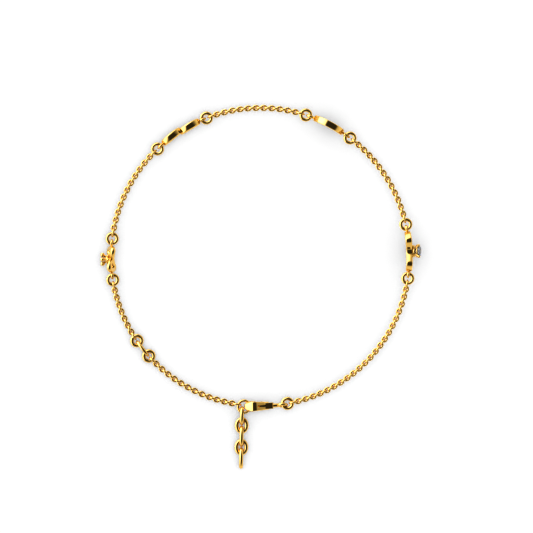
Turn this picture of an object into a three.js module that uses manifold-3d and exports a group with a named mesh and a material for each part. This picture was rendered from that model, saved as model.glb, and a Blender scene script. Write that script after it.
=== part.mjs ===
// Gold chain bracelet, laid as a circle: four charms, two brilliants, a lobster clasp and an extender.
// Millimetres, +Z up, origin at the centre of the footprint on the floor.
import * as THREE from 'three';
import { ConvexGeometry } from 'three/addons/geometries/ConvexGeometry.js';
import { mergeVertices } from 'three/addons/utils/BufferGeometryUtils.js';
import Module from 'manifold-3d';

const wasm = await Module();
wasm.setup();

// Loop: a 7 inch bracelet, measured round the ring centres
const LOOP_RADIUS = 28.4;

// Angles of the ring centres at the two ends of each station, degrees counterclockwise from +X
const STATION_ANGLES = {
  heart: [-8.25, 12.6],
  disc: [52.9, 72.1],
  ovals: [111.1, 133.5],
  infinity: [172.9, 188.8],
  sizing: [214.2, 221.65],
  clasp: [263.9, 280.63],
};

// Links in the chain that follows each station; the others are drawn as a plain round run
const CHAIN_LINKS = { disc: 23, ovals: 23 };

// Cable chain
const CHAIN_WIRE = 0.38;
const CHAIN_WIDTH = 1.22;
const CHAIN_NEST = 0.28;
const END_LINK_EXTRA = 0.42;
const END_LINK_WIDTH = 1.6;
const RUN_STEP = 4.5;

// Jump rings; the end ring is wider, with room for the hook, the extender and the chain
const RING = { radius: 0.935, wire: 0.64 };
const SIZING_RING = { radius: 0.95, wire: 0.7 };
const END_RING = { radius: 1.15, wire: 0.5 };
const PLAY = 0.06;

// Eyelets soldered on the charms
const EYELET_WIRE = 0.5;
const EYELET_WIDTH = 1.54;
const EYELET_SINK = 0.22;

// Charm plates
const HEART_WIDTH = 7.6;
const HEART_THICKNESS = 1.22;
const DISC_RADIUS = 3.1;
const DISC_THICKNESS = 1.24;
const DISC_SIDES = 28;
const OVAL_HALF = { x: 2.2, z: 1.75 };
const OVAL_HOLE = { x: 1.42, z: 1.0 };
const OVAL_CENTRE = 1.93;
const OVAL_THICKNESS = 1.32;
const OVAL_STEP = 0.1;
const OVAL_TILT = 2.4;
const OVAL_SIDES = 20;

// Figure-eight of round wire
const EIGHT_WIRE = 1.02;
const EIGHT_HALF_LENGTH = 2.08;
const EIGHT_HALF_HEIGHT = 1.22;
const EIGHT_PART = 0.84;
const EIGHT_FACE = 0.5;

// Prong heads: stone diameter, prong wire, bead radius, girdle height, first prong's turn, rail or none
const HEART_HEAD = { stone: 2.4, wire: 0.42, bead: 0.26, girdle: 1.28, turn: Math.PI / 4, rail: true };
const EIGHT_HEAD = { stone: 1.2, wire: 0.42, bead: 0.32, girdle: 1.22, turn: 0, rail: false };

// Clasp, measured from a point just inside the end ring's centre towards the tail. Its end ring and
// its tail lie a little outwards of the loop line.
const END_OUTWARD = 0.29;
const TAIL_OUTWARD = 0.28;
const CLASP_SHIFT = 0.15;
const CLASP_THICKNESS = 1.92;
const CLASP_PLAN = [
  [-0.2, 0.5], [0.45, 0.58], [0.6, 0.9], [1.4, 0.96],
  [2.4, 0.88], [3.7, 0.82], [4.6, 0.7], [5.6, 0.46],
];
const CLASP_NOSE = { x: 1.77, radius: 1.85 };
const CLASP_TAIL = { x: 4.94, radius: 0.5 };
const HOOK_NOSE = { x: 1.69, radius: 1.25 };
const HOOK_TAIL = { x: 3.3, radius: 0.6 };
const TAIL_BLOCK = [[3.7, -0.7], [4.6, -0.62], [5.2, -0.4], [5.26, 0.7], [5.1, 0.86], [3.98, 1.0], [3.7, 0.9]];
const GATE = { to: 3.1, top: -0.5, swing: 2.86 };
const SLOT = { from: 2.5, to: 4.85, width: 0.8, top: 0.38 };
const SLIT = { from: 2.5, to: 4.04, width: 0.26 };
const LEVER = { thickness: 0.66, swing: 2.78, armLength: 1.45, armHalf: 0.3, armTurn: 0.55, hub: 0.4 };
const NUB = { x: 3.4, z: -1.2, radius: 0.4 };
const PIVOT = { x: 4.35, z: -0.1, radius: 0.2, hole: 0.27, length: 1.54 };
const EYE = { x: 7.17, radius: 0.8, wire: 0.56, lean: 15 };

// Sizing link and extender
const SIZING_LINK = { length: 3.85, width: 2.5, wire: 0.6 };
const EXTENDER_WIRE = 0.76;
const EXTENDER_WIDTH = 2.64;
const EXTENDER_LENGTHS = [3.68, 3.2, 4.12, 3.2, 4.12];
const EXTENDER_TURN = 215;

// Facets
const LINK_SIDES = 10;
const WIRE_SIDES = 5;
const RING_SIDES = 12;
const LOBE_STEPS = 11;
const TIP_STEPS = 4;

const GOLD = { color: '#e6b24a', metalness: 1, roughness: 0.16 };
const DIAMOND = { color: '#eef3f7', metalness: 0, roughness: 0.03 };

// Solids

// Corners that meet are merged, and a face that this leaves with no area is dropped
function solidOf(geometry) {
  const loose = geometry.index ? geometry.toNonIndexed() : geometry;
  const bare = new THREE.BufferGeometry();
  bare.setAttribute('position', loose.getAttribute('position'));
  const merged = mergeVertices(bare, 1e-4);
  const faces = [];
  for (let i = 0; i < merged.index.count; i += 3) {
    const face = [0, 1, 2].map((k) => merged.index.getX(i + k));
    if (new Set(face).size === 3) faces.push(...face);
  }
  return new wasm.Manifold(new wasm.Mesh({
    numProp: 3,
    vertProperties: merged.attributes.position.array,
    triVerts: new Uint32Array(faces),
  }));
}

function geometryOf(solid) {
  const { vertProperties, triVerts } = solid.getMesh();
  const geometry = new THREE.BufferGeometry();
  geometry.setAttribute('position', new THREE.BufferAttribute(vertProperties, 3));
  geometry.setIndex(new THREE.BufferAttribute(triVerts, 1));
  return geometry;
}

const fuse = (...solids) => solids.reduce((whole, part) => whole.add(part));

function block(x0, x1, y0, y1, z0, z1) {
  const box = new THREE.BoxGeometry(x1 - x0, y1 - y0, z1 - z0);
  return box.translate((x0 + x1) / 2, (y0 + y1) / 2, (z0 + z1) / 2);
}

function piece(name, geometry, finish = GOLD) {
  const flat = geometry.index ? geometry.toNonIndexed() : geometry;
  flat.computeVertexNormals();
  const mesh = new THREE.Mesh(flat, new THREE.MeshStandardMaterial(finish));
  mesh.name = name;
  return mesh;
}

// A closed oval of wire in the XY plane, its long side along X, with a flat side at each end
function ovalLink(length, width, wire, sides = LINK_SIDES, wireSides = WIRE_SIDES) {
  const radius = (width - wire) / 2;
  const reach = (length - wire) / 2 / Math.cos(Math.PI / sides);
  const oval = new THREE.TorusGeometry(radius, wire / 2, wireSides, sides).rotateZ(Math.PI / sides);
  const corners = oval.getAttribute('position');
  for (let i = 0; i < corners.count; i += 1) {
    const turn = Math.atan2(corners.getY(i), corners.getX(i));
    corners.setX(i, corners.getX(i) + Math.cos(turn) * (reach - radius));
  }
  return oval;
}

const edgeLink = (...sizes) => ovalLink(...sizes).rotateX(Math.PI / 2);

// Places on the loop. A station's own frame has +X along the loop, +Y inwards and +Z up.

const radians = THREE.MathUtils.degToRad;

function loopFrame(angle, height, slope = 0, radius = LOOP_RADIUS) {
  const along = new THREE.Vector3(-Math.sin(angle), Math.cos(angle), Math.tan(slope)).normalize();
  const inwards = new THREE.Vector3(-Math.cos(angle), -Math.sin(angle), 0);
  const up = new THREE.Vector3().crossVectors(along, inwards);
  const frame = new THREE.Matrix4().makeBasis(along, inwards, up);
  return frame.setPosition(radius * Math.cos(angle), radius * Math.sin(angle), height);
}

// Moves a piece of a station along the loop by an arc length, turning it with the curve
function alongLoop(geometry, arc) {
  return geometry.translate(0, -LOOP_RADIUS, 0).rotateZ(arc / LOOP_RADIUS).translate(0, LOOP_RADIUS, 0);
}

const halfArc = (station) => {
  const [start, end] = STATION_ANGLES[station];
  return (radians(end - start) / 2) * LOOP_RADIUS;
};

// Charms

// Corners of a heart in the XY plane, scaled by its width, lobes up; y = 0 is the line of the eyelets
function heartCorners(width, lift = 0) {
  const lobe = { x: 0.2436 * width, y: 0.047 * width + lift, radius: 0.2564 * width };
  const tip = { x: 0, y: -0.48 * width + lift, radius: 0.05 * width };
  const reach = Math.hypot(lobe.x, lobe.y - tip.y);
  const towardsTip = Math.atan2(tip.y - lobe.y, -lobe.x);
  const side = towardsTip + Math.acos((lobe.radius - tip.radius) / reach);
  const notch = Math.acos(-lobe.x / lobe.radius);
  const arc = ({ x, y, radius }, from, to, steps) => {
    return new THREE.EllipseCurve(x, y, radius, radius, from, to, true).getPoints(steps);
  };
  const corners = [
    ...arc(lobe, notch, side, LOBE_STEPS),
    ...arc(tip, side, -Math.PI - side, TIP_STEPS),
    ...arc({ ...lobe, x: -lobe.x }, -Math.PI - side, -Math.PI - notch, LOBE_STEPS),
  ];
  return corners.slice(0, -1).reverse();
}

function discShape() {
  const corner = DISC_RADIUS / Math.cos(Math.PI / DISC_SIDES);
  const corners = Array.from({ length: DISC_SIDES }, (_, i) => {
    const angle = ((i + 0.5) * 2 * Math.PI) / DISC_SIDES;
    return new THREE.Vector2(corner * Math.cos(angle), corner * Math.sin(angle));
  });
  return new THREE.Shape(corners);
}

// A band round the loop's own axis, from an inner to an outer offset off the loop line
function loopBand(inner, outer) {
  const [near, far] = [LOOP_RADIUS + inner, LOOP_RADIUS + outer];
  const profile = [[near, -9], [far, -9], [far, 9], [near, 9], [near, -9]];
  const points = profile.map(([x, y]) => new THREE.Vector2(x, y));
  const band = new THREE.LatheGeometry(points, 120).rotateX(Math.PI / 2);
  return solidOf(band.translate(0, LOOP_RADIUS, 0));
}

// An upright plate of the given outline, curved with the loop between two offsets off the loop line
function curvedPlate(shape, inner, outer, shift = 0) {
  const prism = new THREE.ExtrudeGeometry(shape, { depth: 8, bevelEnabled: false });
  const upright = prism.rotateX(Math.PI / 2).translate(0, 4, 0);
  return solidOf(alongLoop(upright, shift)).intersect(loopBand(inner, outer));
}

// Both eyelets of a charm whose metal ends the given length from its middle
function eyelets(station, charmEnd) {
  const outerEnd = halfArc(station) - (RING.radius - RING.wire / 2 - PLAY - EYELET_WIRE);
  const length = outerEnd - charmEnd + EYELET_SINK;
  const middle = outerEnd - length / 2;
  const both = [middle, -middle].map((arc) => {
    return solidOf(alongLoop(edgeLink(length, EYELET_WIDTH, EYELET_WIRE, 8), arc));
  });
  return fuse(...both);
}

// Four prongs that narrow to a waist and open to a bead each, with a gallery ring at the waist
// and perhaps a rail under the stone, along +Z
function prongHead({ stone, wire, bead, girdle, turn, rail }) {
  const open = stone / 2 + bead + PLAY;
  const waist = 0.28 * stone;
  const path = new THREE.CatmullRomCurve3([
    new THREE.Vector3(0.9 * open, 0, -0.1),
    new THREE.Vector3(waist, 0, 0.36 * girdle),
    new THREE.Vector3(0.75 * open, 0, 0.66 * girdle),
    new THREE.Vector3(open, 0, girdle - 0.1),
  ]);
  const section = new THREE.Shape(new THREE.EllipseCurve(0, 0, wire / 2, wire / 2).getPoints(5).slice(0, 5));
  const prong = solidOf(new THREE.ExtrudeGeometry(section, { steps: 4, extrudePath: path }));
  const tip = solidOf(new THREE.SphereGeometry(bead, 6, 5).translate(open, 0, girdle - 0.1));
  const single = geometryOf(prong.add(tip));
  const prongs = [0, 1, 2, 3].map((i) => {
    return solidOf(single.clone().rotateZ(turn + (i * Math.PI) / 2));
  });
  const gallery = new THREE.TorusGeometry(waist, 0.55 * wire, 5, 8).translate(0, 0, 0.22 * girdle);
  const basket = fuse(...prongs, solidOf(gallery));
  if (!rail) return basket;
  const under = new THREE.TorusGeometry(0.45 * stone, 0.07 * stone, 4, 12).translate(0, 0, girdle - 0.2 * stone);
  return basket.add(solidOf(under));
}

// Round brilliant, table up, girdle at z = 0: the corners of its facets, then their hull
function brilliant(diameter) {
  const radius = diameter / 2;
  const corner = (share, turn, z) => {
    return new THREE.Vector3(share * radius * Math.cos(turn), share * radius * Math.sin(turn), z * diameter);
  };
  const corners = [corner(0, 0, -0.44)];
  for (let i = 0; i < 8; i += 1) {
    const turn = (i * Math.PI) / 4;
    corners.push(corner(0.56, turn, 0.15), corner(0.8, turn + Math.PI / 8, 0.095));
    corners.push(corner(1, turn, 0.012), corner(1, turn + Math.PI / 8, 0.012));
    corners.push(corner(1, turn, -0.012), corner(1, turn + Math.PI / 8, -0.012));
  }
  return new ConvexGeometry(corners);
}

// Turns a part that faces +Z outwards from the loop, its base the given length off the loop line
const facingOut = (geometry, base) => geometry.rotateX(Math.PI / 2).translate(0, -base, 0);

// Half of the figure-eight's wire, from one end of the charm to the other and a little past both.
// The two strands stand apart in the lobes and come together at the crossing.
class EightStrand extends THREE.Curve {
  constructor(start) {
    super();
    this.start = start;
  }

  getPoint(t, target = new THREE.Vector3()) {
    const turn = this.start - 0.1 + t * (Math.PI + 0.2);
    const x = EIGHT_HALF_LENGTH * Math.cos(turn);
    const bow = (x * x) / (2 * LOOP_RADIUS);
    const aside = EIGHT_PART * Math.sin(turn) * (1 - 0.8 * Math.sin(turn) ** 2);
    return target.set(x, bow - aside, EIGHT_HALF_HEIGHT * Math.sin(2 * turn));
  }
}

function heartCharm() {
  const half = HEART_THICKNESS / 2;
  const plate = curvedPlate(new THREE.Shape(heartCorners(HEART_WIDTH)), -half, half);
  const head = solidOf(facingOut(geometryOf(prongHead(HEART_HEAD)), half));
  return geometryOf(fuse(plate, head, eyelets('heart', HEART_WIDTH / 2)));
}

function discCharm() {
  const half = DISC_THICKNESS / 2;
  return geometryOf(fuse(curvedPlate(discShape(), -half, half), eyelets('disc', DISC_RADIUS)));
}

function twinOvalsCharm() {
  const oval = ({ x, z }) => {
    return new THREE.EllipseCurve(0, 0, x, z).getPoints(OVAL_SIDES).slice(0, OVAL_SIDES);
  };
  const shape = new THREE.Shape(oval(OVAL_HALF));
  shape.holes.push(new THREE.Path(oval(OVAL_HOLE)));
  const half = OVAL_THICKNESS / 2;
  const plates = [1, -1].map((side) => {
    const aside = side * OVAL_CENTRE;
    const plate = curvedPlate(shape, side * OVAL_STEP - half, side * OVAL_STEP + half, aside);
    return plate.translate([-aside, 0, 0]).rotate([0, 0, OVAL_TILT]).translate([aside, 0, 0]);
  });
  return geometryOf(fuse(...plates, eyelets('ovals', OVAL_CENTRE + OVAL_HALF.x)));
}

function infinityCharm() {
  const round = new THREE.EllipseCurve(0, 0, EIGHT_WIRE / 2, EIGHT_WIRE / 2).getPoints(6).slice(0, 6);
  const strands = [0, Math.PI].map((start) => {
    const options = { steps: 12, extrudePath: new EightStrand(start) };
    return solidOf(new THREE.ExtrudeGeometry(new THREE.Shape(round), options));
  });
  const head = solidOf(facingOut(geometryOf(prongHead(EIGHT_HEAD)), EIGHT_FACE));
  const end = EIGHT_HALF_LENGTH + EIGHT_WIRE / 2;
  return geometryOf(fuse(...strands, head, eyelets('infinity', end)));
}

// Clasp, in its own frame: +X from the end ring to the tail, +Z up, thickness along Y

// Teardrop round two circles on the X axis
function teardrop(Kind, nose, tail) {
  const side = Math.acos((nose.radius - tail.radius) / (tail.x - nose.x));
  const drop = new Kind();
  drop.absarc(nose.x, 0, nose.radius, side, 2 * Math.PI - side, false);
  drop.absarc(tail.x, 0, tail.radius, -side, side, false);
  return drop;
}

function claspWall(thickness, bevel) {
  const shape = teardrop(THREE.Shape, CLASP_NOSE, CLASP_TAIL);
  shape.holes.push(teardrop(THREE.Path, HOOK_NOSE, HOOK_TAIL));
  const wall = new THREE.ExtrudeGeometry(shape, {
    depth: thickness - 2 * bevel,
    bevelThickness: bevel,
    bevelSize: bevel,
    bevelOffset: -bevel,
    bevelSegments: 1,
    curveSegments: 8,
  });
  return solidOf(wall.translate(0, 0, bevel - thickness / 2).rotateX(Math.PI / 2));
}

// The clasp seen from above, narrower at the nose and the tail
function claspPlan() {
  const near = CLASP_PLAN.map(([x, half]) => new THREE.Vector2(x, -half));
  const far = CLASP_PLAN.map(([x, half]) => new THREE.Vector2(x, half)).reverse();
  const prism = new THREE.ExtrudeGeometry(new THREE.Shape([...near, ...far]), { depth: 6, bevelEnabled: false });
  return solidOf(prism.translate(0, 0, -3));
}

// The block at the clasp's tail that carries the rivet
function claspTail() {
  const corners = TAIL_BLOCK.map(([x, z]) => new THREE.Vector2(x, z));
  const options = { depth: CLASP_THICKNESS, bevelEnabled: false };
  const block = new THREE.ExtrudeGeometry(new THREE.Shape(corners), options);
  return solidOf(block.translate(0, 0, -CLASP_THICKNESS / 2).rotateX(Math.PI / 2));
}

function crossPin(x, z, radius, length, sides = 12) {
  return new THREE.CylinderGeometry(radius, radius, length, sides).translate(x, 0, z);
}

// The part of the clasp's underside within a swing of the pivot, where the gate opens
function gateSpace(swing, xEnd) {
  const below = solidOf(block(0, xEnd, -2, 2, -3, GATE.top));
  return below.intersect(solidOf(crossPin(PIVOT.x, PIVOT.z, swing, 4, 72)));
}

function claspBody() {
  const stem = new THREE.CylinderGeometry(0.4, 0.42, 1.9, 10).rotateZ(-Math.PI / 2).translate(5.75, 0, 0);
  const lean = Math.PI / 2 - radians(EYE.lean);
  const eye = new THREE.TorusGeometry(EYE.radius, EYE.wire / 2, 6, 12).rotateX(lean);
  const wall = fuse(claspWall(CLASP_THICKNESS, 0.2), claspTail()).intersect(claspPlan());
  const whole = fuse(wall, solidOf(stem), solidOf(eye.translate(EYE.x, 0, 0)));
  const half = SLOT.width / 2;
  const cuts = [
    block(SLOT.from, SLOT.to, -half, half, -3, SLOT.top),
    block(SLIT.from, SLIT.to, -SLIT.width / 2, SLIT.width / 2, 0, 3),
    crossPin(PIVOT.x, PIVOT.z, PIVOT.hole, 4),
  ];
  const opened = whole.subtract(gateSpace(GATE.swing, GATE.to));
  return geometryOf(cuts.map(solidOf).reduce((body, cut) => body.subtract(cut), opened));
}

function claspLever() {
  const half = LEVER.thickness / 2;
  const gate = claspWall(LEVER.thickness, 0.1).intersect(gateSpace(LEVER.swing, 3.5));
  const arm = block(-LEVER.armLength, 0.1, -half, half, -LEVER.armHalf, LEVER.armHalf);
  const hub = crossPin(PIVOT.x, PIVOT.z, LEVER.hub, LEVER.thickness, 14);
  const nub = crossPin(NUB.x, NUB.z, NUB.radius, LEVER.thickness, 10);
  const parts = [arm.rotateY(-LEVER.armTurn).translate(PIVOT.x, 0, PIVOT.z), hub, nub];
  const lever = fuse(gate, ...parts.map(solidOf));
  return geometryOf(lever.subtract(solidOf(crossPin(PIVOT.x, PIVOT.z, PIVOT.hole, 4))));
}

// Chain

class ChainLine extends THREE.Curve {
  constructor(place, from, to) {
    super();
    Object.assign(this, { place, from, to });
  }

  getPoint(t, target = new THREE.Vector3()) {
    return target.setFromMatrixPosition(this.place(this.from + t * (this.to - this.from)));
  }
}

// The chain between two ring centres: real links where a count is given, a round run with
// a real link at each end where it isn't. Every other link stands on edge, the end ones too.
function chain({ start, end, startHeight, endHeight, startRing, endRing, links }) {
  const arc = (end - start) * LOOP_RADIUS;
  const slope = Math.atan((endHeight - startHeight) / arc);
  const place = (s) => {
    return loopFrame(start + s / LOOP_RADIUS, startHeight + (s / arc) * (endHeight - startHeight), slope);
  };
  const inset = ({ radius, wire }) => radius - wire / 2 - PLAY - CHAIN_WIRE / 2;
  const first = inset(startRing);
  const span = arc - first - inset(endRing);
  const linked = links > 0;
  const count = linked ? links : 2 * Math.round(span / 1.51) + 1;
  const reach = (span - 2 * END_LINK_EXTRA + (count - 1) * CHAIN_NEST) / count;
  const parts = [];
  let s = first;
  for (let i = 0; i < count; i += 1) {
    const atEnd = i === 0 || i === count - 1;
    const length = reach + (atEnd ? END_LINK_EXTRA : 0);
    if (linked || atEnd) {
      const make = i % 2 === 0 ? edgeLink : ovalLink;
      const width = atEnd ? END_LINK_WIDTH : CHAIN_WIDTH;
      const link = make(length + CHAIN_WIRE, width, CHAIN_WIRE);
      parts.push(solidOf(link.applyMatrix4(place(s + length / 2))));
    }
    s += length - CHAIN_NEST;
  }
  if (!linked) {
    const inner = first + reach + END_LINK_EXTRA - CHAIN_NEST;
    const line = new ChainLine(place, inner, arc - inner);
    const ring = new THREE.EllipseCurve(0, 0, CHAIN_WIDTH / 2, CHAIN_WIDTH / 2).getPoints(8).slice(0, 8);
    const steps = Math.round(span / RUN_STEP);
    parts.push(solidOf(new THREE.ExtrudeGeometry(new THREE.Shape(ring), { steps, extrudePath: line })));
  }
  return geometryOf(fuse(...parts));
}

const ringOf = ({ radius, wire }) => new THREE.TorusGeometry(radius, wire / 2, WIRE_SIDES, RING_SIDES);

// Assembly

const bracelet = new THREE.Group();

// Adds a piece of a station in the loop's frame
function seat(name, geometry, frame, finish) {
  bracelet.add(piece(name, geometry.applyMatrix4(frame), finish));
}

// Height of the eyelet line of a piece that stands on its lowest edge
function standing(geometry) {
  geometry.computeBoundingBox();
  return -geometry.boundingBox.min.z;
}

const charms = {
  heart: heartCharm(),
  disc: discCharm(),
  ovals: twinOvalsCharm(),
  infinity: infinityCharm(),
};
const heights = {
  ...Object.fromEntries(Object.entries(charms).map(([name, shape]) => [name, standing(shape)])),
  sizing: SIZING_LINK.width / 2,
  clasp: CLASP_NOSE.radius,
};

const middle = (station) => radians((STATION_ANGLES[station][0] + STATION_ANGLES[station][1]) / 2);

for (const [station, charm] of Object.entries(charms)) {
  seat(`${station}_charm`, charm, loopFrame(middle(station), heights[station]));
}

const heartStone = facingOut(brilliant(HEART_HEAD.stone), HEART_THICKNESS / 2 + HEART_HEAD.girdle);
seat('heart_diamond', heartStone, loopFrame(middle('heart'), heights.heart), DIAMOND);
const eightStone = facingOut(brilliant(EIGHT_HEAD.stone), EIGHT_FACE + EIGHT_HEAD.girdle);
seat('infinity_diamond', eightStone, loopFrame(middle('infinity'), heights.infinity), DIAMOND);

const sizingLink = edgeLink(SIZING_LINK.length, SIZING_LINK.width, SIZING_LINK.wire, 10, 6);
seat('sizing_link', sizingLink, loopFrame(middle('sizing'), heights.sizing));

const ringAt = (station, side) => {
  if (station === 'sizing') return SIZING_RING;
  return station === 'clasp' && side === 0 ? END_RING : RING;
};
const ringFrame = (station, side, outward = 0) => {
  const angle = radians(STATION_ANGLES[station][side]);
  return loopFrame(angle, heights[station], 0, LOOP_RADIUS + outward);
};
const stations = Object.keys(STATION_ANGLES);
for (const station of stations) {
  for (const side of [0, 1]) {
    const ring = ringAt(station, side);
    const frame = ringFrame(station, side, ring === END_RING ? END_OUTWARD : 0);
    seat(`${station}_ring_${side + 1}`, ringOf(ring), frame);
  }
}

stations.forEach((station, i) => {
  const next = stations[(i + 1) % stations.length];
  const turn = i + 1 === stations.length ? 360 : 0;
  const run = chain({
    start: radians(STATION_ANGLES[station][1]),
    end: radians(STATION_ANGLES[next][0] + turn),
    startHeight: heights[station],
    endHeight: heights[next],
    startRing: ringAt(station, 1),
    endRing: ringAt(next, 0),
    links: CHAIN_LINKS[station],
  });
  bracelet.add(piece(`chain_after_${station}`, run));
});

const endCentre = new THREE.Vector3().setFromMatrixPosition(ringFrame('clasp', 0, END_OUTWARD));
const tailCentre = new THREE.Vector3().setFromMatrixPosition(ringFrame('clasp', 1, TAIL_OUTWARD));
const claspTurn = Math.atan2(tailCentre.y - endCentre.y, tailCentre.x - endCentre.x);
const claspFrame = new THREE.Matrix4().makeRotationZ(claspTurn).setPosition(endCentre);
claspFrame.multiply(new THREE.Matrix4().makeTranslation(CLASP_SHIFT, 0, 0));
seat('clasp_body', claspBody(), claspFrame);
seat('clasp_lever', claspLever(), claspFrame);
seat('clasp_rivet', crossPin(PIVOT.x, PIVOT.z, PIVOT.radius, PIVOT.length, 10), claspFrame);

// Extender: from inside the end ring down to the floor, edge-on and flat links in turn
const hold = END_RING.radius - END_RING.wire / 2 - PLAY - EXTENDER_WIRE / 2;
const holdAngle = radians(EXTENDER_TURN);
const holdPoint = new THREE.Vector3(hold * Math.cos(holdAngle), hold * Math.sin(holdAngle), 0).add(endCentre);
const extenderMiddles = [(EXTENDER_LENGTHS[0] - EXTENDER_WIRE) / 2];
EXTENDER_LENGTHS.slice(1).forEach((length, i) => {
  const apart = (EXTENDER_LENGTHS[i] + length) / 2 - 2 * EXTENDER_WIRE - PLAY;
  extenderMiddles.push(extenderMiddles[i] + apart);
});
const extenderRun = extenderMiddles.at(-1);
const extenderDrop = Math.asin((heights.clasp - EXTENDER_WIDTH / 2) / extenderRun);
const extenderFrame = new THREE.Matrix4()
  .makeRotationFromEuler(new THREE.Euler(0, extenderDrop, radians(-91), 'ZYX'))
  .setPosition(holdPoint);
EXTENDER_LENGTHS.forEach((length, i) => {
  const make = i % 2 === 0 ? edgeLink : ovalLink;
  const link = make(length, EXTENDER_WIDTH, EXTENDER_WIRE, 10, 6);
  seat(`extender_link_${i + 1}`, link.translate(extenderMiddles[i], 0, 0), extenderFrame);
});

// The origin goes to the middle of the footprint
const extent = new THREE.Box3().setFromObject(bracelet);
const group = new THREE.Group();
bracelet.position.set(
  -(extent.min.x + extent.max.x) / 2,
  -(extent.min.y + extent.max.y) / 2,
  -extent.min.z,
);
group.add(bracelet);

export default group;
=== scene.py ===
"""Looks of a gold chain bracelet: links, charms, diamonds, clasp and extender on a white table."""

import logging
import math
from dataclasses import dataclass
from enum import Enum
from typing import Sequence

import bmesh
import bpy
from mathutils import Matrix, Vector


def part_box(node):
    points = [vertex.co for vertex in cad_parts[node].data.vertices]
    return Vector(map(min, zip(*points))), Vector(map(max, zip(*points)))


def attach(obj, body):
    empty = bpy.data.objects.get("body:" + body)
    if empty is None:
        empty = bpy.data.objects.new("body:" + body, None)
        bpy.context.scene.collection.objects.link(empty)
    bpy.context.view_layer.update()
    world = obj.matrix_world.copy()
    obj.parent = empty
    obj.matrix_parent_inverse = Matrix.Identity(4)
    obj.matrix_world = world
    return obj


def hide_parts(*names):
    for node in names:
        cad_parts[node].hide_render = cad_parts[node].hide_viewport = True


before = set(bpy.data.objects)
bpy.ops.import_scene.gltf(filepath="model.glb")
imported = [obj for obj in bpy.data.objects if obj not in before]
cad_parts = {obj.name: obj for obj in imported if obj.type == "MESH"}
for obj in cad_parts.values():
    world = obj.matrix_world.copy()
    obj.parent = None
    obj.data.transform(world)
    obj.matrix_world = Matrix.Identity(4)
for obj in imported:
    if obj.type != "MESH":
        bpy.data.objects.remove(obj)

LOG = logging.getLogger("bracelet")
MM = 0.001
ROOT = "bracelet"

# How finely rounded edges, plate faces and beads are drawn
EDGE_STEPS = 6
FACE_RINGS = 6
FACE_RING_SHARE = 0.15
FACE_INSET = 1.25
BEAD_STEPS = 14
BEAD_SIDES = 24

# Facets of a stone that are flatter to each other than this many degrees are one facet
SAME_FACET = 0.5


class Shading(Enum):
    """How a mesh shades across its edges, as the angle that is kept sharp."""

    ROUND = 180.0
    CRISP = 32.0
    FACETED = 0.0


class Carve(Enum):
    """What a carving tool does to the metal it meets."""

    CUT = "DIFFERENCE"
    KEEP = "INTERSECT"


class Slot(Enum):
    """Material slots of the record."""

    GOLD = "gold"
    DIAMOND = "diamond"


# Finishes


def to_linear(colour: str) -> tuple[float, float, float, float]:
    """Turn an sRGB hex colour into linear RGBA.

    Args:
        colour: A value such as "#E6B24A".

    Returns:
        Linear red, green, blue and an alpha of one.
    """
    parts = [int(colour[i : i + 2], 16) / 255 for i in (1, 3, 5)]
    linear = [p / 12.92 if p <= 0.04045 else ((p + 0.055) / 1.055) ** 2.4 for p in parts]
    return (linear[0], linear[1], linear[2], 1.0)


def add_node(
    tree: bpy.types.NodeTree,
    kind: str,
    settings: dict[str, object],
    inputs: dict[str | int, object],
) -> bpy.types.Node:
    """Add a node with its settings, its values and its links.

    Args:
        tree: The node tree to add to.
        kind: Blender's name for the kind of node.
        settings: Node properties by name.
        inputs: Values or output sockets by input name or number.

    Returns:
        The new node.
    """
    node = tree.nodes.new(kind)
    for name, value in settings.items():
        setattr(node, name, value)
    for name, value in inputs.items():
        if isinstance(value, bpy.types.NodeSocket):
            tree.links.new(value, node.inputs[name])
        else:
            node.inputs[name].default_value = value
    return node


def blank_material(name: str) -> tuple[bpy.types.Material, bpy.types.NodeTree]:
    """Make a material with an empty node tree.

    Args:
        name: The material's name.

    Returns:
        The material and its tree.
    """
    material = bpy.data.materials.new(name)
    material.use_nodes = True
    material.node_tree.nodes.clear()
    return material, material.node_tree


def grain(
    tree: bpy.types.NodeTree, place: bpy.types.NodeSocket, size_mm: float
) -> bpy.types.NodeSocket:
    """Add soft noise with grains of a real size.

    Args:
        tree: The material's tree.
        place: Coordinates in metres.
        size_mm: Width of a grain.

    Returns:
        The noise value.
    """
    settings = {"noise_dimensions": "3D"}
    inputs = {"Vector": place, "Scale": 1 / (size_mm * MM), "Detail": 2.0, "Roughness": 0.5}
    return add_node(tree, "ShaderNodeTexNoise", settings, inputs).outputs["Fac"]


def two_tone(
    tree: bpy.types.NodeTree, share: bpy.types.NodeSocket, first: str, second: str
) -> bpy.types.NodeSocket:
    """Mix two sRGB colours, with a share of the second."""
    inputs = {0: share, 6: to_linear(first), 7: to_linear(second)}
    return add_node(tree, "ShaderNodeMix", {"data_type": "RGBA"}, inputs).outputs[2]


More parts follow.
